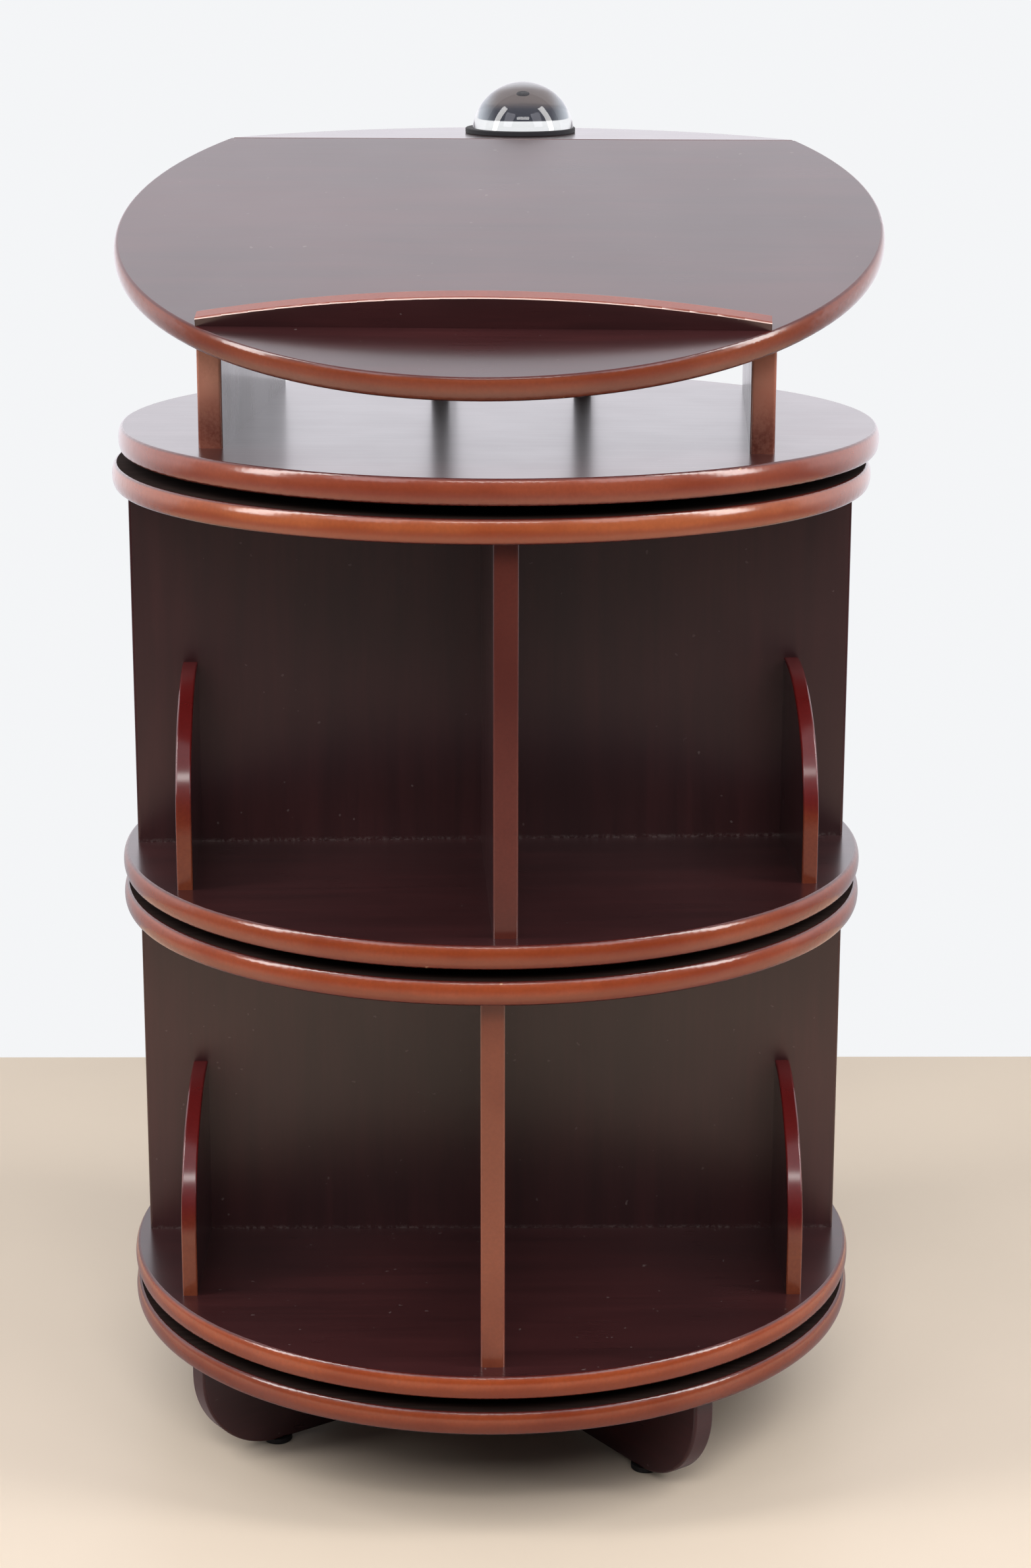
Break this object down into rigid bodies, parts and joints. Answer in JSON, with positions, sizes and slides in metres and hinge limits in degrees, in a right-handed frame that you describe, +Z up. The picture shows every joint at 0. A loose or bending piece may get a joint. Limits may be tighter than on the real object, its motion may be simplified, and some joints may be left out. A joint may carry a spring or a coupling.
{
  "type": "rotating media tower",
  "caption": "Round wooden media tower: open tiers that turn on ring bearings over cross feet, topped by a turning lectern with a sloped book board and a loose glass dome.",
  "frame": {"origin": "on the floor, on the tower's turning axis, within 3 mm of the middle of the bounding box", "axes": "+Z up; -Y is the front, the low side of the sloped book board; +X to the right seen from the front"},
  "size_m": [0.525, 0.5203, 0.9323],
  "materials": {
    "mahogany_stain": "dark red-brown stain under satin lacquer, rims lighter",
    "beech_dowel": "plain, unfinished",
    "bearing_aluminium": "satin",
    "ball_steel": "polished",
    "screw_steel": "zinc plated",
    "black_glide": "matte",
    "black_felt": "felt",
    "clear_glass": "clear, polished"
  },
  "bodies": {
    "base": {"foot_plank_lower": "mahogany_stain", "foot_plank_upper": "mahogany_stain", "foot_glides": "black_glide", "base_board": "mahogany_stain", "base_screws": "screw_steel", "base_bearing_outer_ring": "bearing_aluminium", "base_bearing_balls": "ball_steel", "base_bearing_outer_screws": "screw_steel"},
    "lower_tier": {"base_bearing_inner_ring": "bearing_aluminium", "base_bearing_inner_screws": "screw_steel", "lower_shelf_board": "mahogany_stain", "lower_top_board": "mahogany_stain", "lower_partition": "mahogany_stain", "lower_divider_front": "mahogany_stain", "lower_divider_back": "mahogany_stain", "lower_fin_front_left": "mahogany_stain", "lower_fin_front_right": "mahogany_stain", "lower_fin_back_left": "mahogany_stain", "lower_fin_back_right": "mahogany_stain", "lower_screws_bottom": "screw_steel", "lower_screws_top": "screw_steel", "lower_divider_dowels": "beech_dowel", "middle_bearing_outer_ring": "bearing_aluminium", "middle_bearing_balls": "ball_steel", "middle_bearing_outer_screws": "screw_steel"},
    "upper_tier": {"middle_bearing_inner_ring": "bearing_aluminium", "middle_bearing_inner_screws": "screw_steel", "upper_shelf_board": "mahogany_stain", "upper_top_board": "mahogany_stain", "upper_partition": "mahogany_stain", "upper_divider_front": "mahogany_stain", "upper_divider_back": "mahogany_stain", "upper_fin_front_left": "mahogany_stain", "upper_fin_front_right": "mahogany_stain", "upper_fin_back_left": "mahogany_stain", "upper_fin_back_right": "mahogany_stain", "upper_screws_bottom": "screw_steel", "upper_screws_top": "screw_steel", "upper_divider_dowels": "beech_dowel", "top_bearing_outer_ring": "bearing_aluminium", "top_bearing_balls": "ball_steel", "top_bearing_outer_screws": "screw_steel"},
    "lectern": {"top_bearing_inner_ring": "bearing_aluminium", "top_bearing_inner_screws": "screw_steel", "turntable_board": "mahogany_stain", "riser_left": "mahogany_stain", "riser_right": "mahogany_stain", "rear_partition_left": "mahogany_stain", "rear_partition_right": "mahogany_stain", "book_board": "mahogany_stain", "rear_board": "mahogany_stain", "book_lip": "mahogany_stain", "riser_screws": "screw_steel", "book_board_dowels": "beech_dowel", "rear_board_dowels": "beech_dowel", "lip_screws": "screw_steel"},
    "dome": {"dome_glass": "clear_glass", "dome_felt": "black_felt"}
  },
  "joints": [
    {"name": "lower_tier_turn", "type": "hinge", "parent": "base", "child": "lower_tier", "pos_m": [0, 0, 0.09825], "axis": [0, 0, 1], "continuous": true},
    {"name": "upper_tier_turn", "type": "hinge", "parent": "lower_tier", "child": "upper_tier", "pos_m": [0, 0, 0.3955], "axis": [0, 0, 1], "continuous": true},
    {"name": "lectern_turn", "type": "hinge", "parent": "upper_tier", "child": "lectern", "pos_m": [0, 0, 0.692], "axis": [0, 0, 1], "continuous": true},
    {"name": "dome_lift", "type": "slide", "parent": "lectern", "child": "dome", "axis": [-0.0022, -0.0348, 0.9994], "range_m": [0, 0.15]}
  ]
}
